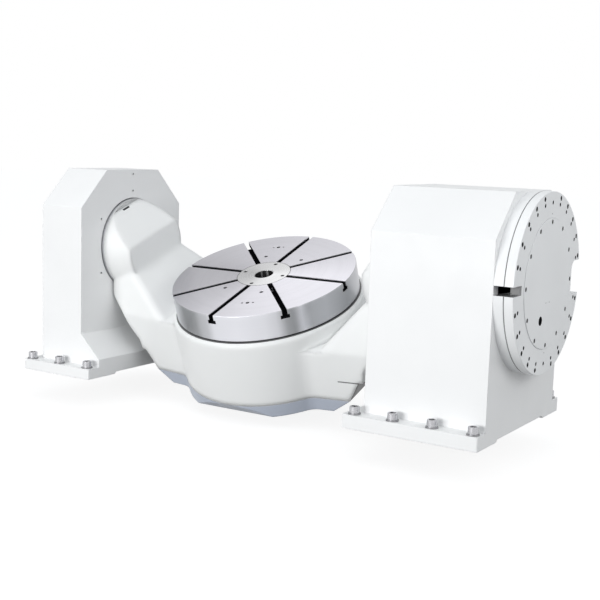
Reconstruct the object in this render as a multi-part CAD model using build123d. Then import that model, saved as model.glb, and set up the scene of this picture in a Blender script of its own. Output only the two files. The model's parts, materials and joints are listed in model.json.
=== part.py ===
"""Two-axis rotary table with direct-drive torque motors: a cradle tilts between a tail
support and a drive housing, and carries a round T-slot table.

Millimetres. +Z is up and z = 0 is the plane of the machine bed under both supports.
x = 0 is the table's axis and y = 0 the tilt axis, which runs along +X from the tail support
to the drive housing. The cradle and the table are modelled level, with the tilt axis at their
own origin, and are then tipped by CRADLE_TILT."""
import os
from math import cos, radians, sin, sqrt, tan

from build123d import *

# Machine layout
AXIS_HEIGHT = 350.0
CRADLE_TILT = 20.4
RUNNING_GAP = 0.3
SEAT_GAP = 0.05
CUT_OVERRUN = 10.0

# Both supports
SUPPORT_HALF_WIDTH = 210.0
SUPPORT_TOP_ABOVE_AXIS = 210.0
SUPPORT_CORNER_CUT = 101.0
CASTING_EDGE_RADIUS = 3.0
BASE_HALF_DEPTH = 252.0
BASE_RELIEF_HEIGHT = 6.0
BASE_PAD_DEPTH = 106.0
BASE_CORNER_RADIUS = 4.0
BED_BOLT_ROW_Y = 236.0

# Tail support
TAIL_INNER_X = -446.0
TAIL_THICKNESS = 145.0
TAIL_WALL = 24.0
TAIL_BASE_THICKNESS = 28.0
TAIL_BASE_OUTER_LIP = 29.0
TAIL_BASE_INNER_X = -379.0
TAIL_FLARE_TOP_DROP = 237.0
TAIL_FLARE_FOOT_DROP = 301.0
TAIL_HUB_OPENING_RADIUS = 131.0
TAIL_BOLT_COUNT = 3
TAIL_BOLT_OUTER_MARGIN = 17.0
TAIL_BOLT_INNER_MARGIN = 20.0
TAPPED_HOLE_CIRCLE_RADIUS = 150.5
TAPPED_HOLE_COUNT = 6
TAPPED_HOLE_RADIUS = 3.4
TAPPED_HOLE_DEPTH = 16.0
TAIL_TOP_HOLE_HEIGHT = 198.0
TAIL_COVER_RADIUS = 186.0
TAIL_COVER_THICKNESS = 20.0
TAIL_COVER_SCREW_CIRCLE = 178.0
TAIL_COVER_SCREW_COUNT = 8

# Drive housing
DRIVE_INNER_X = 447.5
DRIVE_LENGTH = 304.5
DRIVE_WALL = 16.0
DRIVE_BASE_THICKNESS = 33.0
DRIVE_BASE_INNER_LIP = 35.5
DRIVE_HUB_OPENING_RADIUS = 131.0
DRIVE_BOLT_COUNT = 4
DRIVE_BOLT_INNER_MARGIN = 25.0
DRIVE_BOLT_OUTER_MARGIN = 18.0
DRIVE_CAVITY_RADIUS = 185.0
END_RING_RADIUS = 211.0
END_RING_THICKNESS = 24.0
END_FLANGE_THICKNESS = 22.0
END_RING_BORE_RADIUS = 128.0
END_SEAM_CHAMFER = 0.8
END_SLOT_HEIGHT = 21.0
END_SLOT_DEPTH = 38.0
END_NOTCH_BOTTOM = -38.0
END_NOTCH_TOP = 42.0
END_NOTCH_DEPTH = 56.0
END_NOTCH_CORNER = 22.0
OUTER_HOLE_CIRCLE_RADIUS = 200.5
OUTER_SCREW_HEAD_RADIUS = 5.4
INNER_HOLE_CIRCLE_RADIUS = 185.5
INNER_SCREW_HEAD_RADIUS = 4.3
FLANGE_SCREW_HEAD_HEIGHT = 5.0
FLANGE_HOLE_DEPTH = 7.0
FLANGE_HOLE_STEP_DEG = 15
OUTER_SCREW_FREE_ANGLES = (0, 90, 180, 270)
INNER_SCREW_FREE_ANGLES = (90, 270)
MARK_HOLE_CIRCLE_RADIUS = 160.0
MARK_HOLE_RADIUS = 1.6
REAR_COVER_RADIUS = 150.5
REAR_COVER_PROUD = 1.5
REAR_COVER_LINE = 0.5
REAR_COVER_SCREW_CIRCLE = 142.0
REAR_COVER_SCREW_COUNT = 12
COVER_CABLE_HOLE_RADIUS = 10.5
COVER_CABLE_HOLE_PLACE = (-41.0, -81.5)
COVER_DOT_PLACES = ((-11.0, -43.0), (10.0, -43.0))

# Base bolts, M16 socket heads on washers
BOLT_RADIUS = 8.0
BOLT_HEAD_RADIUS = 12.0
BOLT_HEAD_HEIGHT = 16.0
BOLT_HEAD_CHAMFER = 1.2
BOLT_SOCKET_ACROSS_FLATS = 14.0
BOLT_SOCKET_DEPTH = 8.0
BOLT_HOLE_RADIUS = 8.8
BOLT_END_ABOVE_BED = 1.0
WASHER_RADIUS = 15.0
WASHER_THICKNESS = 3.0

# Small socket screws
SCREW_RADIUS = 3.0
SCREW_HEAD_RADIUS = 5.0
SCREW_HEAD_HEIGHT = 6.0
SCREW_BITE = 9.0
SCREW_RECESS = 0.8

# Cradle, level, tilt axis at the origin: u = X, v = Y, w = Z
ARM_END = 440.0
HUB_RADIUS = 128.0
HUB_NECK_RADIUS = 112.0
ARM_HALF_WIDTH_AT_TABLE_AXIS = 185.0
ARM_NARROWING = 0.093
ARM_FLANK_LEAN_DEG = 18.7
ARM_INNER_REACH = 60.0
TAIL_WALL_TOP = -148.0
DRIVE_WALL_TOP = -172.0
ARM_SHOULDER_END = 116.0
ARM_SHOULDER_TOP = 34.0
ARM_SHOULDER_SETBACK = 4.0
ARM_NECK_SETBACK = 82.0
ARM_NECK_FOOT = -40.0
ARM_SEAT_SLOPE_DEG = 45.3
DRIVE_SEAT_SHIFT = 16.0
ARM_HEEL_DROP = 124.0
ARM_KNEE_SETBACK = 80.0
ARM_KNEE_DROP = 222.0
ARM_LIP_SETBACK = 84.0
ARM_LIP_DROP = 251.0
ARM_LIP_STEP = 12.0
ARM_TOE_SETBACK = 128.0
FLANK_RECESS_START = 284.0
FLANK_RECESS_DEPTH = 5.0
CREASE_RADIUS = 22.0
ARM_EDGE_RADIUS = 20.0
ARM_EDGE_SHARE_OF_TOP = 0.45
BOWL_RADIUS = 262.0
BOWL_BLEND_RADIUS = 50.0
BOWL_RIM_RADIUS = 8.0
WALL_FOOT = -308.0
BOTTOM_COVER_FOOT = -342.0
BOTTOM_COVER_FRONT_INSET = 29.0
BOTTOM_COVER_END_INSET = 50.0
BOTTOM_COVER_FLOOR = 8.0
BOTTOM_COVER_SCREW_COUNT = 12
BOTTOM_COVER_SCREW_MARGIN = 24.0
BOTTOM_COVER_SCREW_START = 15.0
HUB_POCKET_LENGTH = 26.0
HUB_POCKET_WIDTH = 12.0
HUB_POCKET_DEPTH = 14.0
HUB_POCKET_PLACE_V = -6.0

# Table
TABLE_RADIUS = 250.0
TABLE_FACE_DROP = 52.4
TABLE_THICKNESS = 72.0
TABLE_GAP = 3.5
TABLE_EDGE_CHAMFER = 1.5
SLOT_COUNT = 8
SLOT_WIDTH = 14.0
SLOT_DEPTH = 24.0
SLOT_FOOT_WIDTH = 24.0
SLOT_FOOT_HEIGHT = 10.0
CENTRE_PLATE_RADIUS = 72.7
CENTRE_PLATE_THICKNESS = 14.0
CENTRE_PLATE_LINE = 0.4
CENTRE_SLEEVE_WALL = 6.0
TABLE_BORE_RADIUS = 25.0
TABLE_BORE_CHAMFER = 2.0
CENTRE_SCREW_CIRCLE = 60.0
CENTRE_SCREW_COUNT = 4
TABLE_SCREW_CIRCLE = 116.0
TABLE_SCREW_ANGLES = (60.0, 120.0, 240.0, 300.0)
TABLE_SCREW_HEAD_RADIUS = 5.0
TABLE_SCREW_RECESS = 3.0
LIFTING_HOLE_CIRCLE = 173.0
LIFTING_HOLE_ANGLES = (109.0, 289.0)
LIFTING_HOLE_RADIUS = 5.2
LIFTING_SIDE_HOLE_RADIUS = 3.0
LIFTING_SIDE_HOLE_OFFSET = 14.5
LIFTING_HOLE_DEPTH = 20.0

# Crossed roller bearings
ROLLER_DIAMETER = 15.0
ROLLER_LENGTH = 14.4
ROLLER_CLEARANCE = 0.15
ROLLER_COUNT = 18
RING_HALF_WIDTH = 16.0
RING_HALF_GAP = 1.2
RING_WALL = 21.0
TILT_BEARING_RADIUS = 149.0
TABLE_BEARING_LEDGE = 24.2

# Torque motors
JACKET_WALL = 10.0
JACKET_GROOVE_DEPTH = 5.0
JACKET_GROOVE_WIDTH = 9.0
JACKET_GROOVE_COUNT = 4
STATOR_WALL = 33.0
STATOR_TOOTH_DEPTH = 20.0
STATOR_SLOT_COUNT = 24
STATOR_SLOT_WIDTH = 12.0
AIR_GAP = 1.5
MAGNET_THICKNESS = 7.0
MAGNET_COUNT = 22
MAGNET_FILL = 0.86
COIL_HEAD_HEIGHT = 18.0
COIL_HEAD_WALL = 20.0
TILT_MOTOR_INNER_SPACE = 72.5
TILT_MOTOR_REAR_SPACE = 102.0
TABLE_MOTOR_LENGTH = 80.0
TABLE_MOTOR_TOP = -192.0
TABLE_CAVITY_RADIUS = 190.0
TABLE_ROTOR_WALL = 24.0

# Trunnions, clamps, encoders
TRUNNION_COLLAR_RADIUS = 129.0
TRUNNION_POCKET_RADIUS = 98.0
TRUNNION_WEB = 22.0
TRUNNION_BORE_RADIUS = 36.0
TRUNNION_SOCKET_DEPTH = 60.0
TRUNNION_BOLT_CIRCLE = 70.0
TRUNNION_BOLT_COUNT = 8
TRUNNION_BOLT_START = 22.5
TRUNNION_BOLT_RADIUS = 6.0
TRUNNION_BOLT_HEAD_RADIUS = 9.0
TRUNNION_BOLT_HEAD_HEIGHT = 12.0
TRUNNION_BOLT_BITE = 24.0
TAIL_TRUNNION_LENGTH = 130.0
TAIL_CLAMP_RADIUS = 112.0
TAIL_CLAMP_START = 22.0
NUT_THICKNESS = 12.0
NUT_WALL = 18.0
CLAMP_RING_WIDTH = 26.0
TABLE_CLAMP_WIDTH = 14.0
RETAINER_THICKNESS = 6.0
RETAINER_WALL = 19.0
ROTOR_HUB_WEB = 14.0
ROTOR_HUB_WALL = 16.0
ROTOR_HUB_REAR_SPACE = 40.5
ROTOR_END_RING_THICKNESS = 6.0
ENCODER_RING_WALL = 14.0
ENCODER_RING_WIDTH = 6.0
ENCODER_HEAD_WIDTH = 30.0
ENCODER_HEAD_DEPTH = 16.0
ENCODER_AIR_GAP = 0.5
UNION_LENGTH = 146.0
UNION_FLANGE_RADIUS = 52.0
UNION_FLANGE_THICKNESS = 10.0
SEAL_RADIUS = 246.0
SEAL_WALL = 4.0
SPINDLE_FLANGE_SETBACK = 6.0
SPINDLE_WEB = 26.0
SPINDLE_BORE_RADIUS = 31.0
SPINDLE_FOOT = -300.0

# Derived places along the tilt axis
TAIL_OUTER_X = TAIL_INNER_X - TAIL_THICKNESS
DRIVE_REAR_X = DRIVE_INNER_X + DRIVE_LENGTH
FLANGE_FACE_X = DRIVE_REAR_X + END_RING_THICKNESS + END_FLANGE_THICKNESS
BEARING_SEAT_RADIUS = TILT_BEARING_RADIUS + RING_HALF_GAP + RING_WALL
JOURNAL_RADIUS = TILT_BEARING_RADIUS - RING_HALF_GAP - RING_WALL
TAIL_BEARING_X = TAIL_INNER_X - TAIL_WALL - RING_HALF_WIDTH
DRIVE_BEARING_X = DRIVE_INNER_X + DRIVE_WALL + RING_HALF_WIDTH
TILT_MOTOR_START = DRIVE_INNER_X + TILT_MOTOR_INNER_SPACE
TILT_MOTOR_LENGTH = DRIVE_REAR_X - TILT_MOTOR_REAR_SPACE - TILT_MOTOR_START
TAIL_BOLT_FIRST_X = TAIL_OUTER_X - TAIL_BASE_OUTER_LIP + TAIL_BOLT_OUTER_MARGIN
TAIL_BOLT_LAST_X = TAIL_BASE_INNER_X - TAIL_BOLT_INNER_MARGIN
DRIVE_BOLT_FIRST_X = DRIVE_INNER_X - DRIVE_BASE_INNER_LIP + DRIVE_BOLT_INNER_MARGIN
DRIVE_BOLT_LAST_X = DRIVE_REAR_X - DRIVE_BOLT_OUTER_MARGIN

# Derived places down the table axis
TABLE_FACE = -TABLE_FACE_DROP
TABLE_UNDERSIDE = TABLE_FACE - TABLE_THICKNESS
BOWL_TOP = TABLE_UNDERSIDE - TABLE_GAP
TABLE_SEAT_RADIUS = TABLE_CAVITY_RADIUS + TABLE_BEARING_LEDGE
TABLE_BEARING_RADIUS = TABLE_SEAT_RADIUS - RING_HALF_GAP - RING_WALL
TABLE_BEARING_W = BOWL_TOP - RETAINER_THICKNESS - RING_HALF_WIDTH
TABLE_SHELF = TABLE_BEARING_W - RING_HALF_WIDTH
CENTRE_PLATE_FOOT = TABLE_FACE - CENTRE_PLATE_THICKNESS
TABLE_SCREW_SEAT = TABLE_FACE - SCREW_HEAD_HEIGHT - TABLE_SCREW_RECESS
TABLE_ROTOR_RADIUS = TABLE_CAVITY_RADIUS - JACKET_WALL - STATOR_WALL - AIR_GAP - MAGNET_THICKNESS
TABLE_JOURNAL_RADIUS = TABLE_BEARING_RADIUS - RING_HALF_GAP - RING_WALL
SPINDLE_FLANGE_RADIUS = TABLE_BEARING_RADIUS - SPINDLE_FLANGE_SETBACK
BOTTOM_COVER_SCREW_CIRCLE = TABLE_CAVITY_RADIUS + BOTTOM_COVER_SCREW_MARGIN
TILT_ROTOR_RADIUS = DRIVE_CAVITY_RADIUS - JACKET_WALL - STATOR_WALL - AIR_GAP - MAGNET_THICKNESS


def tube(outer, inner, low, high):
    """A ring about Z between two heights; inner 0 makes a disc."""
    height = high - low
    solid = Pos(0, 0, low + height / 2) * Cylinder(outer, height)
    if inner > 0:
        solid -= Pos(0, 0, low + height / 2) * Cylinder(inner, height + 2)
    return solid


def outer_rim(solid, end):
    """The widest circle on a round solid's low (0) or high (-1) end."""
    circles = solid.faces().sort_by(Axis.Z)[end].edges().filter_by(GeomType.CIRCLE)
    return ShapeList([circles.sort_by(SortBy.RADIUS)[-1]])


def around(shape, count, start=0.0):
    """Copies of a shape, evenly turned about Z."""
    return [Rot(0, 0, start + k * 360.0 / count) * shape for k in range(count)]


def on_tilt_axis(shape):
    """Lays a shape built along Z on the tilt axis, its Z becoming +X."""
    return Pos(0, 0, AXIS_HEIGHT) * Rot(0, 90, 0) * shape


def in_cradle(shape):
    """Places a shape from the level cradle frame at the cradle's rest tilt."""
    return Pos(0, 0, AXIS_HEIGHT) * Rot(CRADLE_TILT, 0, 0) * shape


def on_arm_end(shape, side):
    """Places a piece built about Z from an arm's end outwards; it tips with the cradle."""
    return in_cradle(Rot(0, 90 * side, 0) * Pos(0, 0, ARM_END) * shape)


def socket_screw(radius, head_radius, head_height, length, socket=0.0, socket_depth=0.0):
    """A screw along Z with its head's underside at z = 0 and its shank below."""
    shank = Pos(0, 0, -length / 2) * Cylinder(radius, length)
    head = Pos(0, 0, head_height / 2) * Cylinder(head_radius, head_height)
    screw = shank + head
    if socket > 0:
        hexagon = RegularPolygon(socket / 2, 6, major_radius=False)
        screw -= Pos(0, 0, head_height - socket_depth) * extrude(hexagon, socket_depth + 1)
    return screw


def crossed_roller_bearing(mean_radius, start):
    """Outer ring, inner ring and rollers about Z, with the races' middle at height start."""
    half_diagonal = (ROLLER_DIAMETER / 2 + ROLLER_CLEARANCE) * sqrt(2)
    race = Polygon(
        (mean_radius - half_diagonal, 0), (mean_radius, -half_diagonal),
        (mean_radius + half_diagonal, 0), (mean_radius, half_diagonal), align=None)
    groove = Pos(0, 0, start) * revolve(Plane.XZ * race, Axis.Z)
    low, high = start - RING_HALF_WIDTH, start + RING_HALF_WIDTH
    outer = tube(mean_radius + RING_HALF_GAP + RING_WALL - SEAT_GAP,
                 mean_radius + RING_HALF_GAP, low, high) - groove
    inner = tube(mean_radius - RING_HALF_GAP,
                 mean_radius - RING_HALF_GAP - RING_WALL + SEAT_GAP, low, high) - groove
    rollers = []
    for k in range(ROLLER_COUNT):
        lean = 45 if k % 2 else -45
        roller = Rot(0, lean, 0) * Cylinder(ROLLER_DIAMETER / 2, ROLLER_LENGTH)
        rollers.append(Rot(0, 0, k * 360.0 / ROLLER_COUNT) * Pos(mean_radius, 0, start) * roller)
    return outer, inner, Compound(children=rollers)


def motor(cavity_radius, low, length):
    """Cooling jacket, slotted stator, coil heads and the magnets' outer radius, about Z."""
    high = low + length
    jacket_inner = cavity_radius - JACKET_WALL
    jacket = tube(cavity_radius - SEAT_GAP, jacket_inner, low, high)
    pitch = length / (JACKET_GROOVE_COUNT + 1)
    for k in range(JACKET_GROOVE_COUNT):
        middle = low + (k + 1) * pitch
        jacket -= tube(cavity_radius + 1, cavity_radius - JACKET_GROOVE_DEPTH,
                       middle - JACKET_GROOVE_WIDTH / 2, middle + JACKET_GROOVE_WIDTH / 2)
    bore = jacket_inner - STATOR_WALL
    stator = tube(jacket_inner - SEAT_GAP, bore, low, high)
    slot = Pos(bore + STATOR_TOOTH_DEPTH / 2 - 2, 0, low + length / 2) * Box(
        STATOR_TOOTH_DEPTH + 4, STATOR_SLOT_WIDTH, length + 2)
    for cut in around(slot, STATOR_SLOT_COUNT):
        stator -= cut
    coil_inner = bore + (STATOR_WALL - COIL_HEAD_WALL) / 2
    heads = []
    for foot in (low - COIL_HEAD_HEIGHT, high):
        head = tube(coil_inner + COIL_HEAD_WALL, coil_inner, foot, foot + COIL_HEAD_HEIGHT)
        heads.append(chamfer(head.edges().filter_by(GeomType.CIRCLE), COIL_HEAD_WALL / 5))
    return jacket, stator, Compound(children=heads), bore - AIR_GAP


def magnet_ring(outer_radius, low, length):
    """Flat magnet segments on a rotor, about Z."""
    band = tube(outer_radius, outer_radius - MAGNET_THICKNESS, low, low + length)
    half = radians(180.0 / MAGNET_COUNT * MAGNET_FILL)
    reach = outer_radius * 1.1
    wedge = Polygon((0, 0), (reach * cos(half), -reach * sin(half)),
                    (reach * cos(half), reach * sin(half)), align=None)
    segment = band & (Pos(0, 0, low) * extrude(wedge, length))
    return Compound(children=around(segment, MAGNET_COUNT))


def support_outline(top_above_axis, corner_cut):
    """The supports' octagon-topped front, drawn in Y and Z from the bed up."""
    top = AXIS_HEIGHT + top_above_axis
    side = SUPPORT_HALF_WIDTH
    return Polygon(
        (-side, 0), (side, 0), (side, top - corner_cut), (side - corner_cut, top),
        (-side + corner_cut, top), (-side, top - corner_cut), align=None)


def base_plate(low_x, high_x, thickness):
    """A base flange with a relieved middle, so that it stands on a front and a back pad."""
    length = high_x - low_x
    plate = Pos(low_x + length / 2, 0, thickness / 2) * Box(length, 2 * BASE_HALF_DEPTH, thickness)
    plate = fillet(plate.edges().filter_by(Axis.Z), BASE_CORNER_RADIUS)
    relief_half = BASE_HALF_DEPTH - BASE_PAD_DEPTH
    relief = Polygon(
        (-relief_half, 0), (relief_half, 0), (relief_half - BASE_RELIEF_HEIGHT, BASE_RELIEF_HEIGHT),
        (-relief_half + BASE_RELIEF_HEIGHT, BASE_RELIEF_HEIGHT), align=None)
    return plate, Pos(low_x - 1, 0, 0) * extrude(Plane.YZ * relief, length + 2)


def bolt_places(first_x, last_x, count):
    """Bed bolt centres: one row in front and one behind."""
    spacing = (last_x - first_x) / (count - 1)
    return [(first_x + k * spacing, side * BED_BOLT_ROW_Y) for side in (-1, 1) for k in range(count)]


def bed_bolts(places, thickness):
    """M16 bolts and their washers on a base flange."""
    length = thickness + WASHER_THICKNESS - BOLT_END_ABOVE_BED
    bolt = socket_screw(BOLT_RADIUS, BOLT_HEAD_RADIUS, BOLT_HEAD_HEIGHT, length,
                        BOLT_SOCKET_ACROSS_FLATS, BOLT_SOCKET_DEPTH)
    rim = bolt.faces().sort_by(Axis.Z)[-1].edges().filter_by(GeomType.CIRCLE)
    bolt = chamfer(rim, BOLT_HEAD_CHAMFER)
    washer = tube(WASHER_RADIUS, BOLT_HOLE_RADIUS, 0, WASHER_THICKNESS)
    bolts = [Pos(x, y, thickness + WASHER_THICKNESS) * bolt for x, y in places]
    washers = [Pos(x, y, thickness) * washer for x, y in places]
    return Compound(children=bolts), Compound(children=washers)


def drill(solid, places, thickness):
    """Bolt holes down through a base flange."""
    for x, y in places:
        solid -= Pos(x, y, thickness / 2) * Cylinder(BOLT_HOLE_RADIUS, thickness + 2)
    return solid


def round_casting_edges(solid, low_x, high_x):
    """Softens the support's long edges and the rim of its two flat ends above the base."""
    long_edges = [
        e for e in solid.edges().filter_by(Axis.X)
        if e.center().Z > AXIS_HEIGHT and abs(e.length - (high_x - low_x)) < 1.0]
    return fillet(long_edges, CASTING_EDGE_RADIUS)


def tail_support():
    """The tail housing with its flared foot, hub opening, bearing seat and tapped holes."""
    outline = Plane.YZ * support_outline(SUPPORT_TOP_ABOVE_AXIS, SUPPORT_CORNER_CUT)
    body = Pos(TAIL_OUTER_X, 0, 0) * extrude(outline, TAIL_THICKNESS)
    body = round_casting_edges(body, TAIL_OUTER_X, TAIL_INNER_X)
    flare = Plane.XZ * Polygon(
        (TAIL_INNER_X - 1, AXIS_HEIGHT - TAIL_FLARE_TOP_DROP + 1),
        (TAIL_INNER_X, AXIS_HEIGHT - TAIL_FLARE_TOP_DROP),
        (TAIL_BASE_INNER_X, AXIS_HEIGHT - TAIL_FLARE_FOOT_DROP),
        (TAIL_BASE_INNER_X, 0), (TAIL_INNER_X - 1, 0), align=None)
    body += extrude(flare, SUPPORT_HALF_WIDTH, both=True)
    plate, relief = base_plate(
        TAIL_OUTER_X - TAIL_BASE_OUTER_LIP, TAIL_BASE_INNER_X, TAIL_BASE_THICKNESS)
    body = body + plate - relief
    body = drill(body, TAIL_BOLT_PLACES, TAIL_BASE_THICKNESS)
    opening = tube(TAIL_HUB_OPENING_RADIUS, 0, TAIL_OUTER_X - 1, TAIL_INNER_X + 1)
    seat = tube(BEARING_SEAT_RADIUS, 0, TAIL_OUTER_X - 1, TAIL_INNER_X - TAIL_WALL)
    body = body - on_tilt_axis(opening) - on_tilt_axis(seat)
    hole = Pos(TAPPED_HOLE_CIRCLE_RADIUS, 0, TAIL_INNER_X - TAPPED_HOLE_DEPTH / 2) * Cylinder(
        TAPPED_HOLE_RADIUS, TAPPED_HOLE_DEPTH)
    for cut in around(hole, TAPPED_HOLE_COUNT):
        body -= on_tilt_axis(cut)
    cover_hole = Pos(TAIL_COVER_SCREW_CIRCLE, 0, 0) * tube(
        SCREW_RADIUS + SEAT_GAP, 0, TAIL_OUTER_X - 1, TAIL_OUTER_X + SCREW_BITE + 3)
    for cut in around(cover_hole, TAIL_COVER_SCREW_COUNT):
        body -= on_tilt_axis(cut)
    top_hole = Cylinder(TAPPED_HOLE_RADIUS, TAPPED_HOLE_DEPTH)
    body -= on_tilt_axis(Pos(-TAIL_TOP_HOLE_HEIGHT, 0, TAIL_INNER_X - TAPPED_HOLE_DEPTH / 2) * top_hole)
    return body


def drive_support():
    """The drive housing: a long octagon-topped box, bored out for the tilt motor."""
    outline = Plane.YZ * support_outline(SUPPORT_TOP_ABOVE_AXIS, SUPPORT_CORNER_CUT)
    body = Pos(DRIVE_INNER_X, 0, 0) * extrude(outline, DRIVE_LENGTH)
    body = round_casting_edges(body, DRIVE_INNER_X, DRIVE_REAR_X)
    plate, relief = base_plate(
        DRIVE_INNER_X - DRIVE_BASE_INNER_LIP, DRIVE_REAR_X, DRIVE_BASE_THICKNESS)
    body = body + plate - relief
    body = drill(body, DRIVE_BOLT_PLACES, DRIVE_BASE_THICKNESS)
    seat_end = DRIVE_BEARING_X + RING_HALF_WIDTH
    opening = tube(DRIVE_HUB_OPENING_RADIUS, 0, DRIVE_INNER_X - 1, seat_end)
    seat = tube(BEARING_SEAT_RADIUS, 0, DRIVE_INNER_X + DRIVE_WALL, seat_end + 1)
    cavity = tube(DRIVE_CAVITY_RADIUS, 0, seat_end, DRIVE_REAR_X + 1)
    return body - on_tilt_axis(opening) - on_tilt_axis(seat) - on_tilt_axis(cavity)


def end_cutouts(low, high, slot_depth):
    """The front cable slot and the larger back notch of the end ring and flange, about Z.

    Built along Z before it is laid on the tilt axis: here +X is down and +Y is to the back."""
    rim = END_RING_RADIUS
    middle = (low + high) / 2
    slot = Pos(0, -rim + (slot_depth - CUT_OVERRUN) / 2, middle) * Box(
        END_SLOT_HEIGHT, slot_depth + CUT_OVERRUN, high - low + 2)
    notch_height = END_NOTCH_TOP - END_NOTCH_BOTTOM
    notch_middle = -(END_NOTCH_TOP + END_NOTCH_BOTTOM) / 2
    notch = Pos(notch_middle, rim - (END_NOTCH_DEPTH - CUT_OVERRUN) / 2, middle) * Box(
        notch_height, END_NOTCH_DEPTH + CUT_OVERRUN, high - low + 2)
    inner_top = [e for e in notch.edges().filter_by(Axis.Z)
                 if e.center().X < 0 and e.center().Y < rim - END_NOTCH_DEPTH / 2]
    return slot, fillet(inner_top, END_NOTCH_CORNER)


def end_hole_angles(skip):
    """Angles of a hole circle on the end flange, with the places that it leaves out."""
    return [a for a in range(0, 360, FLANGE_HOLE_STEP_DEG) if a not in skip]


def end_ring():
    """The round boss ring between the drive housing and its end flange."""
    low = DRIVE_REAR_X
    high = low + END_RING_THICKNESS
    ring = tube(END_RING_RADIUS, END_RING_BORE_RADIUS, low, high)
    ring = chamfer(outer_rim(ring, -1), END_SEAM_CHAMFER)
    hole = Pos(REAR_COVER_SCREW_CIRCLE, 0, 0) * tube(
        SCREW_RADIUS + SEAT_GAP, 0, high - SCREW_BITE - 3, high + 1)
    slot_depth = END_RING_RADIUS - END_RING_BORE_RADIUS + END_SLOT_HEIGHT
    for cut in list(end_cutouts(low, high, slot_depth)) + around(hole, REAR_COVER_SCREW_COUNT):
        ring -= cut
    return on_tilt_axis(ring)


def flange_screw_circle(circle_radius, head_radius, skip):
    """One circle of sunk screw heads in the end flange, and the holes that they sit in."""
    floor = FLANGE_FACE_X - FLANGE_HOLE_DEPTH
    head = Pos(circle_radius, 0, 0) * tube(head_radius, 0, floor, floor + FLANGE_SCREW_HEAD_HEIGHT)
    hole = Pos(circle_radius, 0, 0) * tube(head_radius + RUNNING_GAP, 0, floor, FLANGE_FACE_X + 1)
    angles = end_hole_angles(skip)
    return Compound(children=[Rot(0, 0, a) * head for a in angles]), [Rot(0, 0, a) * hole for a in angles]


def end_flange():
    """The end flange with its slot, its notch and two circles of sunk screws."""
    low = DRIVE_REAR_X + END_RING_THICKNESS
    high = FLANGE_FACE_X
    flange = tube(END_RING_RADIUS, REAR_COVER_RADIUS + REAR_COVER_LINE, low, high)
    flange = chamfer(outer_rim(flange, -1) + outer_rim(flange, 0), END_SEAM_CHAMFER)
    outer_screws, outer_holes = flange_screw_circle(
        OUTER_HOLE_CIRCLE_RADIUS, OUTER_SCREW_HEAD_RADIUS, OUTER_SCREW_FREE_ANGLES)
    inner_screws, inner_holes = flange_screw_circle(
        INNER_HOLE_CIRCLE_RADIUS, INNER_SCREW_HEAD_RADIUS, INNER_SCREW_FREE_ANGLES)
    mark = Pos(MARK_HOLE_CIRCLE_RADIUS, 0, high - FLANGE_HOLE_DEPTH / 2) * Cylinder(
        MARK_HOLE_RADIUS, FLANGE_HOLE_DEPTH)
    marks = [Rot(0, 0, a) * mark for a in (0, 180)]
    for cut in list(end_cutouts(low, high, END_SLOT_DEPTH)) + outer_holes + inner_holes + marks:
        flange -= cut
    return on_tilt_axis(flange), on_tilt_axis(outer_screws), on_tilt_axis(inner_screws)


def rear_cover():
    """The round cover in the end flange, with its screws' recesses and two small holes."""
    low = DRIVE_REAR_X + END_RING_THICKNESS
    high = FLANGE_FACE_X + REAR_COVER_PROUD
    cover = tube(REAR_COVER_RADIUS, 0, low, high)
    cover = chamfer(outer_rim(cover, -1), END_SEAM_CHAMFER)
    screw_hole = Pos(REAR_COVER_SCREW_CIRCLE, 0, 0) * tube(
        SCREW_HEAD_RADIUS + RUNNING_GAP, 0, high - SCREW_HEAD_HEIGHT - SCREW_RECESS, high + 1)
    shank_hole = Pos(REAR_COVER_SCREW_CIRCLE, 0, 0) * tube(SCREW_RADIUS + SEAT_GAP, 0, low - 1, high)
    for cut in around(screw_hole + shank_hole, REAR_COVER_SCREW_COUNT):
        cover -= cut
    for y, z in COVER_DOT_PLACES:
        cover -= Pos(-z, y, high - 2) * Cylinder(MARK_HOLE_RADIUS, 5)
    y, z = COVER_CABLE_HOLE_PLACE
    cover -= Pos(-z, y, 0) * tube(COVER_CABLE_HOLE_RADIUS, 0, low - 1, high + 1)
    head_seat = high - SCREW_HEAD_HEIGHT - SCREW_RECESS
    screw = Pos(REAR_COVER_SCREW_CIRCLE, 0, head_seat) * socket_screw(
        SCREW_RADIUS, SCREW_HEAD_RADIUS, SCREW_HEAD_HEIGHT, head_seat - low + SCREW_BITE)
    screws = Compound(children=around(screw, REAR_COVER_SCREW_COUNT))
    return on_tilt_axis(cover), on_tilt_axis(screws)


TAIL_BOLT_PLACES = bolt_places(TAIL_BOLT_FIRST_X, TAIL_BOLT_LAST_X, TAIL_BOLT_COUNT)
DRIVE_BOLT_PLACES = bolt_places(DRIVE_BOLT_FIRST_X, DRIVE_BOLT_LAST_X, DRIVE_BOLT_COUNT)


def arm_half_width(u):
    """Half the arm's width in plan at a distance u from the table's axis."""
    return ARM_HALF_WIDTH_AT_TABLE_AXIS - ARM_NARROWING * abs(u)


def arm_plan(reach):
    """The two arms in plan: a long hexagon, widest at the table's axis."""
    middle = ARM_HALF_WIDTH_AT_TABLE_AXIS
    end = arm_half_width(reach)
    return Polygon((-reach, -end), (0, -middle), (reach, -end), (reach, end), (0, middle),
                   (-reach, end), align=None)


def cradle_plan(reach):
    """The bowl and both arms in plan, with hollow blends where they meet."""
    outline = arm_plan(reach) + Circle(BOWL_RADIUS)
    corners = [v for v in outline.vertices()
               if abs(sqrt(v.X ** 2 + v.Y ** 2) - BOWL_RADIUS) < 0.1 and abs(v.X) > 1]
    return fillet(corners, BOWL_BLEND_RADIUS)


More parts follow.
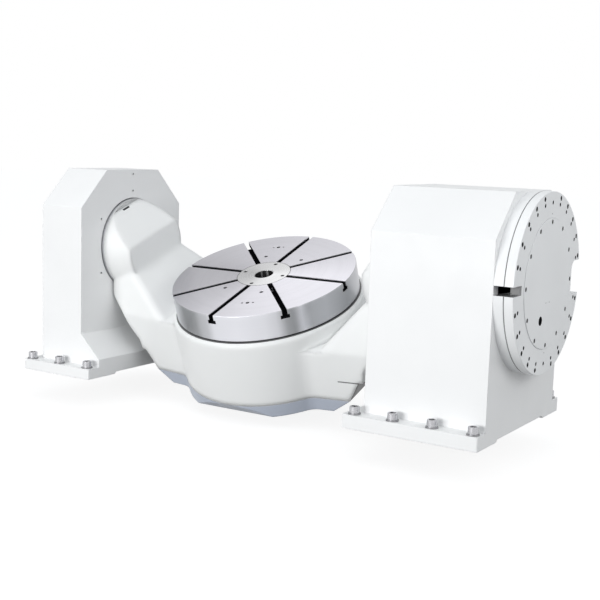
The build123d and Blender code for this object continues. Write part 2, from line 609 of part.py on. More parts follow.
def arm_side_profile(seat_shift, wall_top):
    """One arm seen from the front, in u and w, on the +u side, from its heel up and inwards."""
    neck = ARM_END - ARM_NECK_SETBACK + seat_shift
    seat_run = (ARM_NECK_FOOT - wall_top) / tan(radians(ARM_SEAT_SLOPE_DEG))
    shoulder_slope = (ARM_SHOULDER_END - ARM_SHOULDER_TOP) / (ARM_NECK_SETBACK - ARM_SHOULDER_SETBACK)
    return [
        (ARM_END, -ARM_HEEL_DROP),
        (ARM_END, ARM_SHOULDER_END + ARM_SHOULDER_SETBACK * shoulder_slope),
        (neck, ARM_SHOULDER_TOP),
        (neck, ARM_NECK_FOOT),
        (neck - seat_run, wall_top)]


def arm_outline(seat_shift, wall_top):
    """The arm's whole front outline: its top as above, its foot and its stepped outer end."""
    top = arm_side_profile(seat_shift, wall_top)
    lip = ARM_END - ARM_LIP_SETBACK
    outline = Polygon(
        *top, (ARM_INNER_REACH, wall_top), (ARM_INNER_REACH, WALL_FOOT),
        (ARM_END - ARM_TOE_SETBACK, WALL_FOOT), (lip - ARM_LIP_STEP, -ARM_LIP_DROP),
        (lip, -ARM_LIP_DROP), (ARM_END - ARM_KNEE_SETBACK, -ARM_KNEE_DROP), align=None)
    creases = [v for v in outline.vertices() if abs(v.X - top[2][0]) < 0.1 and v.Y > wall_top / 2]
    return fillet(creases, CREASE_RADIUS)


def arm_hub(seat_shift, wall_top):
    """The round hub at an arm's end, a cone that the shoulder's slope cuts short."""
    cone = Pos(ARM_END, 0, 0) * Rot(0, -90, 0) * Pos(0, 0, ARM_NECK_SETBACK / 2) * Cone(
        HUB_RADIUS, HUB_NECK_RADIUS, ARM_NECK_SETBACK)
    top = arm_side_profile(seat_shift, wall_top)
    keep = Polygon(
        (ARM_END, -HUB_RADIUS), (ARM_END, HUB_RADIUS), (ARM_END - ARM_SHOULDER_SETBACK, HUB_RADIUS),
        (ARM_END - ARM_SHOULDER_SETBACK, ARM_SHOULDER_END), top[2], (top[2][0], -HUB_RADIUS), align=None)
    return cone & extrude(Plane.XZ * keep, 2 * HUB_RADIUS, both=True)


def flank_recess(v_side):
    """The thin wedge that sets an arm's flank back below its lip, deepest at the outer end."""
    outer = ARM_END
    flank = arm_half_width(outer)
    start = arm_half_width(FLANK_RECESS_START)
    share = (outer - FLANK_RECESS_START) / (ARM_END - ARM_LIP_SETBACK - FLANK_RECESS_START)
    wedge = Polygon((FLANK_RECESS_START, v_side * start),
                    (outer, v_side * (flank - FLANK_RECESS_DEPTH * share)),
                    (outer, v_side * (start + FLANK_RECESS_DEPTH)),
                    (FLANK_RECESS_START, v_side * (start + FLANK_RECESS_DEPTH)), align=None)
    return Pos(0, 0, WALL_FOOT - 1) * extrude(wedge, 1 - ARM_LIP_DROP - WALL_FOOT)


def arm_block(seat_shift, wall_top, side):
    """One arm: leaning flanks above the wall, rounded along its top edges, with its round hub."""
    reach = ARM_END + ARM_TOE_SETBACK
    width = 2 * ARM_HALF_WIDTH_AT_TABLE_AXIS
    upper = extrude(Pos(0, 0, wall_top) * arm_plan(reach), HUB_RADIUS - wall_top, taper=ARM_FLANK_LEAN_DEG)
    lower = Pos(0, 0, WALL_FOOT) * extrude(arm_plan(reach), wall_top - WALL_FOOT)
    arm = (upper + lower) & extrude(Plane.XZ * arm_outline(seat_shift, wall_top), width, both=True)
    neck = ARM_END - ARM_NECK_SETBACK + seat_shift
    lean = tan(radians(ARM_FLANK_LEAN_DEG)) * (ARM_SHOULDER_END - wall_top)
    top_half_width = arm_half_width(ARM_END) - lean
    top_edges = [
        e for e in arm.edges()
        if e.center().Z > wall_top + 1 and abs(e.center().Y) > 1 and e.center().X < ARM_END - 1
        and e.center().Y * e.position_at(0).Y > 0 and e.center().Y * e.position_at(1).Y > 0
        and e.bounding_box().min.Z > wall_top - 1 and e.bounding_box().max.X > neck - ARM_EDGE_RADIUS]
    arm = fillet(top_edges, min(ARM_EDGE_RADIUS, ARM_EDGE_SHARE_OF_TOP * top_half_width))
    for v_side in (-1, 1):
        arm -= flank_recess(v_side)
    arm += arm_hub(seat_shift, wall_top)
    return arm if side > 0 else mirror(arm, Plane.YZ)


def bowl_skirt(wall_top, side):
    """The bowl's blends into one arm, from the wall's foot up to that arm's wall top."""
    plan = cradle_plan(ARM_END - ARM_TOE_SETBACK)
    half = Pos(side * BOWL_RADIUS, 0) * Rectangle(2 * BOWL_RADIUS, 4 * BOWL_RADIUS)
    reach = Circle(BOWL_RADIUS + BOWL_BLEND_RADIUS / 2)
    return Pos(0, 0, WALL_FOOT) * extrude(plan & half & reach, wall_top - WALL_FOOT)


def cradle_casting():
    """The swivel cradle: a round bowl between two arms, bored for the table's drive."""
    casting = tube(BOWL_RADIUS, 0, WALL_FOOT, BOWL_TOP)
    casting = fillet(outer_rim(casting, -1), BOWL_RIM_RADIUS)
    casting += bowl_skirt(TAIL_WALL_TOP, -1) + bowl_skirt(DRIVE_WALL_TOP, 1)
    casting += arm_block(0.0, TAIL_WALL_TOP, -1)
    casting += arm_block(DRIVE_SEAT_SHIFT, DRIVE_WALL_TOP, 1)
    casting -= tube(TABLE_SEAT_RADIUS, 0, TABLE_SHELF, BOWL_TOP + HUB_RADIUS)
    casting -= tube(TABLE_CAVITY_RADIUS, 0, WALL_FOOT - 1, TABLE_SHELF + 1)
    socket = tube(TRUNNION_BORE_RADIUS, 0, ARM_END - TRUNNION_SOCKET_DEPTH, ARM_END + 1)
    tapped = Pos(TRUNNION_BOLT_CIRCLE, 0, 0) * tube(
        TRUNNION_BOLT_RADIUS + 2 * SEAT_GAP, 0, ARM_END - TRUNNION_BOLT_BITE - 4, ARM_END + 1)
    for side in (-1, 1):
        for cut in [socket] + around(tapped, TRUNNION_BOLT_COUNT, TRUNNION_BOLT_START):
            casting -= Rot(0, 90 * side, 0) * cut
    pocket = Pos(-ARM_END + HUB_POCKET_WIDTH, HUB_POCKET_PLACE_V, HUB_RADIUS) * Rot(0, 0, 90) * extrude(
        SlotOverall(HUB_POCKET_LENGTH, HUB_POCKET_WIDTH), HUB_POCKET_DEPTH, both=True)
    hole = Pos(BOTTOM_COVER_SCREW_CIRCLE, 0, 0) * tube(
        SCREW_RADIUS + SEAT_GAP, 0, WALL_FOOT - 1, WALL_FOOT + SCREW_BITE + 3)
    for cut in [pocket] + around(hole, BOTTOM_COVER_SCREW_COUNT, BOTTOM_COVER_SCREW_START):
        casting -= cut
    return in_cradle(casting)


def cover_bevel(reach, inset):
    """What the tray loses at one end or side: the space outside a slope from its top to its foot."""
    outer = reach + inset
    edge = Polygon((reach, WALL_FOOT), (reach - inset, BOTTOM_COVER_FOOT), (outer, BOTTOM_COVER_FOOT),
                   (outer, WALL_FOOT), align=None)
    return extrude(Plane.XZ * edge, 2 * ARM_END, both=True)


def bottom_cover():
    """The lower cover, a shallow tray under the bowl and the arms, bevelled at its ends and sides."""
    reach = ARM_END - ARM_TOE_SETBACK
    cover = Pos(0, 0, BOTTOM_COVER_FOOT) * extrude(
        cradle_plan(reach), WALL_FOOT - BOTTOM_COVER_FOOT)
    end = cover_bevel(reach, BOTTOM_COVER_END_INSET)
    front = Rot(0, 0, 90) * cover_bevel(BOWL_RADIUS, BOTTOM_COVER_FRONT_INSET)
    for cut in (end, Rot(0, 0, 180) * end, front, Rot(0, 0, 180) * front):
        cover -= cut
    cover -= tube(TABLE_CAVITY_RADIUS, 0, BOTTOM_COVER_FOOT + BOTTOM_COVER_FLOOR, WALL_FOOT + 1)
    head_seat = BOTTOM_COVER_FOOT + SCREW_HEAD_HEIGHT + SCREW_RECESS
    recess = tube(SCREW_HEAD_RADIUS + RUNNING_GAP, 0, BOTTOM_COVER_FOOT - 1, head_seat)
    recess += tube(SCREW_RADIUS + SEAT_GAP, 0, BOTTOM_COVER_FOOT - 1, WALL_FOOT + 1)
    place = Pos(BOTTOM_COVER_SCREW_CIRCLE, 0, 0)
    for cut in around(place * recess, BOTTOM_COVER_SCREW_COUNT, BOTTOM_COVER_SCREW_START):
        cover -= cut
    screw = Pos(BOTTOM_COVER_SCREW_CIRCLE, 0, head_seat) * Rot(180, 0, 0) * socket_screw(
        SCREW_RADIUS, SCREW_HEAD_RADIUS, SCREW_HEAD_HEIGHT, WALL_FOOT - head_seat + SCREW_BITE)
    screws = Compound(children=around(screw, BOTTOM_COVER_SCREW_COUNT, BOTTOM_COVER_SCREW_START))
    return in_cradle(cover), in_cradle(screws)


def t_slot():
    """One radial T-slot, along +X from the centre plate out past the rim."""
    start = CENTRE_PLATE_RADIUS - 1.0
    length = TABLE_RADIUS + CUT_OVERRUN - start
    neck = Pos(start + length / 2, 0, TABLE_FACE - SLOT_DEPTH / 2 + 0.5) * Box(
        length, SLOT_WIDTH, SLOT_DEPTH + 1)
    foot = Pos(start + length / 2, 0, TABLE_FACE - SLOT_DEPTH + SLOT_FOOT_HEIGHT / 2) * Box(
        length, SLOT_FOOT_WIDTH, SLOT_FOOT_HEIGHT)
    return neck + foot


def table_plate():
    """The round table with radial T-slots, the centre plate's recess and its drilled holes."""
    plate = tube(TABLE_RADIUS, 0, TABLE_UNDERSIDE, TABLE_FACE)
    rims = plate.edges().filter_by(GeomType.CIRCLE)
    plate = chamfer(rims, TABLE_EDGE_CHAMFER)
    plate -= tube(CENTRE_PLATE_RADIUS, 0, CENTRE_PLATE_FOOT, TABLE_FACE + 1)
    for slot in around(t_slot(), SLOT_COUNT):
        plate -= slot
    plate -= tube(TABLE_BORE_RADIUS + CENTRE_SLEEVE_WALL + SEAT_GAP, 0, TABLE_UNDERSIDE - 1, TABLE_FACE + 1)
    recess = tube(TABLE_SCREW_HEAD_RADIUS + RUNNING_GAP, 0, TABLE_SCREW_SEAT, TABLE_FACE + 1)
    recess += tube(SCREW_RADIUS + SEAT_GAP, 0, TABLE_UNDERSIDE - 1, TABLE_FACE)
    for angle in TABLE_SCREW_ANGLES:
        plate -= Rot(0, 0, angle) * Pos(TABLE_SCREW_CIRCLE, 0, 0) * recess
    centre_hole = tube(SCREW_RADIUS + SEAT_GAP, 0, CENTRE_PLATE_FOOT - SCREW_BITE - 2, TABLE_FACE)
    for cut in around(Pos(CENTRE_SCREW_CIRCLE, 0, 0) * centre_hole, CENTRE_SCREW_COUNT):
        plate -= cut
    for angle in LIFTING_HOLE_ANGLES:
        holes = Pos(LIFTING_HOLE_CIRCLE, 0, 0) * tube(
            LIFTING_HOLE_RADIUS, 0, TABLE_FACE - LIFTING_HOLE_DEPTH, TABLE_FACE + 1)
        for offset in (-LIFTING_SIDE_HOLE_OFFSET, LIFTING_SIDE_HOLE_OFFSET):
            holes += Pos(LIFTING_HOLE_CIRCLE, offset, 0) * tube(
                LIFTING_SIDE_HOLE_RADIUS, 0, TABLE_FACE - LIFTING_HOLE_DEPTH, TABLE_FACE + 1)
        plate -= Rot(0, 0, angle) * holes
    return in_cradle(plate)


def centre_plate():
    """The flush centre plate with its long bored sleeve, and its four screws."""
    plate = tube(CENTRE_PLATE_RADIUS - CENTRE_PLATE_LINE, 0, CENTRE_PLATE_FOOT, TABLE_FACE)
    plate += tube(TABLE_BORE_RADIUS + CENTRE_SLEEVE_WALL, 0, TABLE_UNDERSIDE, CENTRE_PLATE_FOOT)
    plate -= tube(TABLE_BORE_RADIUS, 0, TABLE_UNDERSIDE - 1, TABLE_FACE + 1)
    mouth = plate.faces().sort_by(Axis.Z)[-1].edges().filter_by(GeomType.CIRCLE).sort_by(SortBy.RADIUS)[0]
    plate = chamfer(mouth, TABLE_BORE_CHAMFER)
    head_seat = TABLE_FACE - SCREW_HEAD_HEIGHT - SCREW_RECESS
    recess = tube(SCREW_HEAD_RADIUS + RUNNING_GAP, 0, head_seat, TABLE_FACE + 1)
    recess += tube(SCREW_RADIUS + SEAT_GAP, 0, CENTRE_PLATE_FOOT - 1, TABLE_FACE)
    for cut in around(Pos(CENTRE_SCREW_CIRCLE, 0, 0) * recess, CENTRE_SCREW_COUNT):
        plate -= cut
    screw = Pos(CENTRE_SCREW_CIRCLE, 0, head_seat) * socket_screw(
        SCREW_RADIUS, SCREW_HEAD_RADIUS, SCREW_HEAD_HEIGHT, head_seat - CENTRE_PLATE_FOOT + SCREW_BITE)
    screws = Compound(children=around(screw, CENTRE_SCREW_COUNT))
    return in_cradle(plate), in_cradle(screws)


def table_screws():
    """The long screws that hold the table on its spindle."""
    screw = socket_screw(SCREW_RADIUS, TABLE_SCREW_HEAD_RADIUS, SCREW_HEAD_HEIGHT,
                         TABLE_SCREW_SEAT - TABLE_UNDERSIDE + SCREW_BITE)
    return in_cradle(Compound(children=[
        Rot(0, 0, angle) * Pos(TABLE_SCREW_CIRCLE, 0, TABLE_SCREW_SEAT) * screw
        for angle in TABLE_SCREW_ANGLES]))


def spindle():
    """The table's spindle: a flange under the plate, the bearing's journal and the rotor tube."""
    shelf_top = TABLE_SHELF + 2 * RING_HALF_WIDTH
    body = tube(SPINDLE_FLANGE_RADIUS, 0, shelf_top, TABLE_UNDERSIDE)
    body += tube(TABLE_JOURNAL_RADIUS, 0, TABLE_SHELF, shelf_top)
    body += tube(TABLE_ROTOR_RADIUS - SEAT_GAP, 0, SPINDLE_FOOT, TABLE_SHELF)
    body -= tube(TABLE_ROTOR_RADIUS - TABLE_ROTOR_WALL, 0, SPINDLE_FOOT - 1, TABLE_UNDERSIDE - SPINDLE_WEB)
    body -= tube(SPINDLE_BORE_RADIUS, 0, SPINDLE_FOOT, TABLE_UNDERSIDE + 1)
    hole = tube(SCREW_RADIUS + SEAT_GAP, 0, TABLE_UNDERSIDE - SCREW_BITE - 3, TABLE_UNDERSIDE + 1)
    for angle in TABLE_SCREW_ANGLES:
        body -= Rot(0, 0, angle) * Pos(TABLE_SCREW_CIRCLE, 0, 0) * hole
    return in_cradle(body)


def table_drive(nodes):
    """The table's bearing, motor, clamp, seal and encoder, all about the table's axis."""
    outer, inner, rollers = crossed_roller_bearing(TABLE_BEARING_RADIUS, TABLE_BEARING_W)
    nodes["table_bearing_outer_ring"] = in_cradle(outer)
    nodes["table_bearing_inner_ring"] = in_cradle(inner)
    nodes["table_bearing_rollers"] = in_cradle(rollers)
    nodes["table_bearing_retainer"] = in_cradle(tube(
        TABLE_SEAT_RADIUS - SEAT_GAP, TABLE_SEAT_RADIUS - RETAINER_WALL,
        BOWL_TOP - RETAINER_THICKNESS, BOWL_TOP))
    nodes["table_seal"] = in_cradle(tube(
        SEAL_RADIUS, SEAL_RADIUS - SEAL_WALL, BOWL_TOP, TABLE_UNDERSIDE - RUNNING_GAP))
    motor_foot = TABLE_MOTOR_TOP - TABLE_MOTOR_LENGTH
    jacket, stator, coils, rotor_radius = motor(TABLE_CAVITY_RADIUS, motor_foot, TABLE_MOTOR_LENGTH)
    nodes["table_cooling_jacket"] = in_cradle(jacket)
    nodes["table_motor_stator"] = in_cradle(stator)
    nodes["table_stator_windings"] = in_cradle(coils)
    nodes["table_rotor_magnets"] = in_cradle(magnet_ring(rotor_radius, motor_foot, TABLE_MOTOR_LENGTH))
    nodes["spindle_end_ring"] = in_cradle(tube(
        TABLE_JOURNAL_RADIUS + RETAINER_THICKNESS, TABLE_ROTOR_RADIUS,
        TABLE_SHELF - ROTOR_END_RING_THICKNESS, TABLE_SHELF))
    clamp_foot = WALL_FOOT
    nodes["table_clamp_ring"] = in_cradle(tube(
        TABLE_CAVITY_RADIUS - SEAT_GAP, TABLE_ROTOR_RADIUS + RUNNING_GAP,
        clamp_foot, clamp_foot + TABLE_CLAMP_WIDTH))
    ring_inner = TABLE_ROTOR_RADIUS - TABLE_ROTOR_WALL
    nodes["table_encoder_ring"] = in_cradle(tube(
        ring_inner + ENCODER_RING_WALL, ring_inner, SPINDLE_FOOT - ENCODER_RING_WIDTH, SPINDLE_FOOT))
    floor = BOTTOM_COVER_FOOT + BOTTOM_COVER_FLOOR
    head_height = SPINDLE_FOOT - floor
    head_face = sqrt((ring_inner - ENCODER_AIR_GAP) ** 2 - (ENCODER_HEAD_WIDTH / 2) ** 2)
    nodes["table_encoder_head"] = in_cradle(Pos(
        head_face - ENCODER_HEAD_DEPTH / 2, 0, floor + head_height / 2) * Box(
            ENCODER_HEAD_DEPTH, ENCODER_HEAD_WIDTH, head_height))


def trunnion(collar, length, clamp_radius):
    """A cup-shaped trunnion about Z, its web on the arm at height 0 and its open end above.

    The collar's end stands against the bearing's inner ring, and past the journal the wall steps
    in to the radius that the clamp ring grips."""
    journal_end = collar + 2 * RING_HALF_WIDTH
    body = tube(TRUNNION_COLLAR_RADIUS, 0, 0, collar)
    body += tube(JOURNAL_RADIUS, 0, collar, journal_end)
    if length > journal_end:
        body += tube(clamp_radius, 0, journal_end, length)
    body -= tube(TRUNNION_POCKET_RADIUS, 0, TRUNNION_WEB, length + 1)
    body -= tube(TRUNNION_BORE_RADIUS, 0, -1, TRUNNION_WEB + 1)
    hole = Pos(TRUNNION_BOLT_CIRCLE, 0, 0) * tube(
        TRUNNION_BOLT_RADIUS + SEAT_GAP, 0, -1, TRUNNION_WEB + 1)
    for cut in around(hole, TRUNNION_BOLT_COUNT, TRUNNION_BOLT_START):
        body -= cut
    return body


def trunnion_bolts():
    """The ring of bolts through a trunnion's web into the arm, about Z from the arm's end."""
    bolt = socket_screw(TRUNNION_BOLT_RADIUS, TRUNNION_BOLT_HEAD_RADIUS, TRUNNION_BOLT_HEAD_HEIGHT,
                        TRUNNION_WEB + TRUNNION_BOLT_BITE)
    return Compound(children=around(
        Pos(TRUNNION_BOLT_CIRCLE, 0, TRUNNION_WEB) * bolt, TRUNNION_BOLT_COUNT, TRUNNION_BOLT_START))


def tail_bearing_unit(nodes):
    """What turns and what is fixed inside the tail housing, out to its round cover."""
    def outward(shape):
        """Turns a piece built about Z from the arm's end towards the tail's outer face."""
        return on_tilt_axis(Pos(0, 0, -ARM_END) * Rot(180, 0, 0) * shape)
    collar = -(TAIL_BEARING_X + RING_HALF_WIDTH) - ARM_END
    journal_end = collar + 2 * RING_HALF_WIDTH
    nodes["tail_trunnion"] = on_arm_end(trunnion(collar, TAIL_TRUNNION_LENGTH, TAIL_CLAMP_RADIUS), -1)
    nodes["tail_trunnion_bolts"] = on_arm_end(trunnion_bolts(), -1)
    outer, inner, rollers = crossed_roller_bearing(TILT_BEARING_RADIUS, TAIL_BEARING_X)
    nodes["tail_bearing_outer_ring"] = on_tilt_axis(outer)
    nodes["tail_bearing_inner_ring"] = on_tilt_axis(inner)
    nodes["tail_bearing_rollers"] = on_tilt_axis(rollers)
    nodes["tail_bearing_nut"] = outward(tube(
        TAIL_CLAMP_RADIUS + SEAT_GAP + NUT_WALL, TAIL_CLAMP_RADIUS + SEAT_GAP,
        journal_end, journal_end + NUT_THICKNESS))
    nodes["tail_bearing_retainer"] = outward(tube(
        BEARING_SEAT_RADIUS - SEAT_GAP, BEARING_SEAT_RADIUS - RETAINER_WALL,
        journal_end, journal_end + RETAINER_THICKNESS))
    clamp_start = journal_end + TAIL_CLAMP_START
    nodes["tail_clamp_ring"] = outward(tube(
        BEARING_SEAT_RADIUS - SEAT_GAP, TAIL_CLAMP_RADIUS + RUNNING_GAP,
        clamp_start, clamp_start + CLAMP_RING_WIDTH))
    cover_low = -TAIL_OUTER_X - ARM_END
    union = tube(UNION_FLANGE_RADIUS, 0, cover_low - UNION_FLANGE_THICKNESS, cover_low)
    union += tube(TRUNNION_BORE_RADIUS - RUNNING_GAP, 0, cover_low - UNION_LENGTH, cover_low)
    nodes["rotary_union"] = outward(union)
    cover = tube(TAIL_COVER_RADIUS, 0, cover_low, cover_low + TAIL_COVER_THICKNESS)
    cover = chamfer(outer_rim(cover, -1), CASTING_EDGE_RADIUS)
    head_seat = cover_low + TAIL_COVER_THICKNESS - SCREW_HEAD_HEIGHT - SCREW_RECESS
    recess = tube(SCREW_HEAD_RADIUS + RUNNING_GAP, 0, head_seat, cover_low + TAIL_COVER_THICKNESS + 1)
    recess += tube(SCREW_RADIUS + SEAT_GAP, 0, cover_low - 1, head_seat + 1)
    for cut in around(Pos(TAIL_COVER_SCREW_CIRCLE, 0, 0) * recess, TAIL_COVER_SCREW_COUNT):
        cover -= cut
    nodes["tail_outer_cover"] = outward(cover)
    screw = Pos(TAIL_COVER_SCREW_CIRCLE, 0, head_seat) * socket_screw(
        SCREW_RADIUS, SCREW_HEAD_RADIUS, SCREW_HEAD_HEIGHT, head_seat - cover_low + SCREW_BITE)
    nodes["tail_cover_screws"] = outward(Compound(children=around(screw, TAIL_COVER_SCREW_COUNT)))


def tilt_drive(nodes):
    """What turns and what is fixed inside the drive housing: bearing, motor, clamp, encoder."""
    def outward(shape):
        """Moves a piece built about Z from the arm's end into the drive housing."""
        return on_tilt_axis(Pos(0, 0, ARM_END) * shape)
    collar = DRIVE_BEARING_X - RING_HALF_WIDTH - ARM_END
    journal_end = collar + 2 * RING_HALF_WIDTH
    nodes["drive_trunnion"] = on_arm_end(trunnion(collar, journal_end, JOURNAL_RADIUS), 1)
    nodes["drive_trunnion_bolts"] = on_arm_end(trunnion_bolts(), 1)
    outer, inner, rollers = crossed_roller_bearing(TILT_BEARING_RADIUS, DRIVE_BEARING_X)
    nodes["tilt_bearing_outer_ring"] = on_tilt_axis(outer)
    nodes["tilt_bearing_inner_ring"] = on_tilt_axis(inner)
    nodes["tilt_bearing_rollers"] = on_tilt_axis(rollers)
    nodes["tilt_bearing_retainer"] = outward(tube(
        DRIVE_CAVITY_RADIUS - SEAT_GAP, BEARING_SEAT_RADIUS - RETAINER_WALL,
        journal_end, journal_end + RETAINER_THICKNESS))
    hub_end = DRIVE_REAR_X - ROTOR_HUB_REAR_SPACE - ARM_END
    hub_bore = TILT_ROTOR_RADIUS - ROTOR_HUB_WALL
    hub = tube(TILT_ROTOR_RADIUS - SEAT_GAP, hub_bore, journal_end, hub_end)
    web_end = journal_end + ROTOR_HUB_WEB
    hub += tube(TILT_ROTOR_RADIUS - SEAT_GAP, TRUNNION_POCKET_RADIUS, journal_end, web_end)
    nodes["tilt_rotor_hub"] = outward(hub)
    jacket, stator, coils, rotor_radius = motor(DRIVE_CAVITY_RADIUS, TILT_MOTOR_START, TILT_MOTOR_LENGTH)
    nodes["tilt_cooling_jacket"] = on_tilt_axis(jacket)
    nodes["tilt_motor_stator"] = on_tilt_axis(stator)
    nodes["tilt_stator_windings"] = on_tilt_axis(coils)
    nodes["tilt_rotor_magnets"] = on_tilt_axis(magnet_ring(rotor_radius, TILT_MOTOR_START, TILT_MOTOR_LENGTH))
    clamp_end = hub_end - ENCODER_AIR_GAP * 3
    nodes["tilt_clamp_ring"] = outward(tube(
        DRIVE_CAVITY_RADIUS - SEAT_GAP, TILT_ROTOR_RADIUS + RUNNING_GAP,
        clamp_end - CLAMP_RING_WIDTH, clamp_end))
    nodes["tilt_encoder_ring"] = outward(tube(
        hub_bore + ENCODER_RING_WALL, hub_bore, hub_end, hub_end + ENCODER_RING_WIDTH))
    head_height = ENCODER_RING_WIDTH * 2
    head_middle = TILT_ROTOR_RADIUS + ENCODER_AIR_GAP + ENCODER_HEAD_DEPTH / 2
    nodes["tilt_encoder_head"] = outward(Pos(head_middle, 0, clamp_end + head_height / 2) * Box(
        ENCODER_HEAD_DEPTH, ENCODER_HEAD_WIDTH, head_height))


def main():
    """Builds every node and writes one STEP file for each."""
    nodes = {}
    nodes["tail_housing"] = tail_support()
    nodes["tail_base_bolts"], nodes["tail_base_washers"] = bed_bolts(TAIL_BOLT_PLACES, TAIL_BASE_THICKNESS)
    tail_bearing_unit(nodes)
    nodes["drive_housing"] = drive_support()
    nodes["drive_base_bolts"], nodes["drive_base_washers"] = bed_bolts(
        DRIVE_BOLT_PLACES, DRIVE_BASE_THICKNESS)
    nodes["drive_end_ring"] = end_ring()
    flange_parts = end_flange()
    nodes["drive_end_flange"], nodes["flange_outer_screws"], nodes["flange_inner_screws"] = flange_parts
    nodes["drive_rear_cover"], nodes["drive_cover_screws"] = rear_cover()
    tilt_drive(nodes)
    nodes["cradle_casting"] = cradle_casting()
    nodes["cradle_bottom_cover"], nodes["bottom_cover_screws"] = bottom_cover()
    table_drive(nodes)
    nodes["table_plate"] = table_plate()
    nodes["centre_plate"], nodes["centre_plate_screws"] = centre_plate()
    nodes["table_screws"] = table_screws()
    nodes["table_spindle"] = spindle()
    os.makedirs("parts", exist_ok=True)
    for name, shape in nodes.items():
        export_step(shape, f"parts/{name}.step")


main()
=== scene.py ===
"""The looks of a two-axis torque motor rotary table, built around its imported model."""
import json
from math import cos, pi, radians, sin

import bpy
from mathutils import Matrix, Vector


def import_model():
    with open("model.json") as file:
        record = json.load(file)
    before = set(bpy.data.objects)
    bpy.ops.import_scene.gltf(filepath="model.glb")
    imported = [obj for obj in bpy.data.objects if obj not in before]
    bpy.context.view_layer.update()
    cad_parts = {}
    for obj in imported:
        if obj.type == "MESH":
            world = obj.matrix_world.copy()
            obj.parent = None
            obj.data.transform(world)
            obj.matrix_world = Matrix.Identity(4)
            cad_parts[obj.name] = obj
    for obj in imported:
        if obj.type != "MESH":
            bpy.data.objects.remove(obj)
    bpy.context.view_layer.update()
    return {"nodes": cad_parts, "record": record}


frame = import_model()

AXIS_HEIGHT = 0.35
CRADLE_TILT = radians(20.4)

# Places on the part that its materials pick out, in metres, as the solids have them
TABLE_FACE = -0.0524
TABLE_UNDERSIDE = -0.1244
TABLE_RIM = 0.2485
CENTRE_PLATE_EDGE = 0.0727
BORE_EDGE = 0.0255
CABLE_HOLE = (0.7, -0.041, 0.2685)
CABLE_HOLE_RADIUS = 0.0108
END_SLOT = (0.7, -0.188, 0.35)
END_SLOT_HALF = (0.0235, 0.0107)
DISC_FACE = 0.798
COVER_FACE = 0.7995
DISC_SEAM = 0.776
DISC_SEAM_HALF = 0.0013
DISC_EDGE = 0.2075
COVER_EDGE = 0.1475
SCREW_RING = (0.157, 0.2075)
CUTOUT_HALF = 0.040
HOLE_SHADE_DROP = 0.0005
BOWL_TOP = -0.1296
BOWL_GAP_EDGE = 0.2536
HUB_POCKET = (-0.428, -0.006, 0.122)
HUB_POCKET_HALF = (0.0062, 0.0132, 0.012)
LIP_DROP = -0.252
LIP_LINE_HALF = 0.0017
LIP_START = 0.287
END_START = 0.245
SLOT_SHADE_DROP = 0.0022
BORE_SHADE_DROP = 0.003
FOOT_MARGIN = 0.0005
CENTRE_LINE_HALF = 0.0006

# How dark the painted shade in the holes, on the lip's line and on the end slopes is
PAINTED_SHADE_COLOUR = (0.012, 0.012, 0.014)
END_SLOT_SHARE = 0.8
DISC_SEAM_SHARE = 0.7
BOWL_GAP_SHARE = 0.85
LIP_LINE_SHARE = 0.8
END_SLOPE_SHARE = 0.93
TRAY_END_SHARE = 0.6
FACES_END = 0.5
FACES_DOWN = -0.35

# Fine relief and soft edges of the metals, in metres
METAL_EDGE = 0.0008
TABLE_EDGE = 0.0009
METAL_GRAIN = 0.00002
PLAIN_GRAIN = 0.00004
RING_GRAIN = 0.00001
ROUGH_SPREAD = 0.06

# Light and surroundings
FLOOR_HEIGHT = -0.078
FLOOR_SIZE = 30.0
FLOOR_GREY = 0.22
FLOOR_GLOW = 0.86
SKY_TINT = (0.94, 0.97, 1.0, 1)
SKY_STRENGTH = 0.66
LAMPS = (
    ("key", (-0.4, -3.6, 0.6), (0.1, 0, 0.3), (2.4, 1.2), 80),
    ("fill", (3.2, -0.6, 1.4), (0.3, 0, 0.3), (1.6, 1.6), 19),
    ("top", (0.0, 0.4, 3.0), (0, 0, 0.2), (2.6, 1.6), 4))

# The photograph's camera
CAMERA_PLACE = Vector((1.67116, -2.44237, 0.65179))
CAMERA_YAW, CAMERA_PITCH, CAMERA_ROLL = radians(32.27), radians(-8.03), radians(1.82)
FOCAL_PIXELS, FRAME_PIXELS, SENSOR = 1115.48, 600.0, 36.0
VIEW_DEPTH = 100


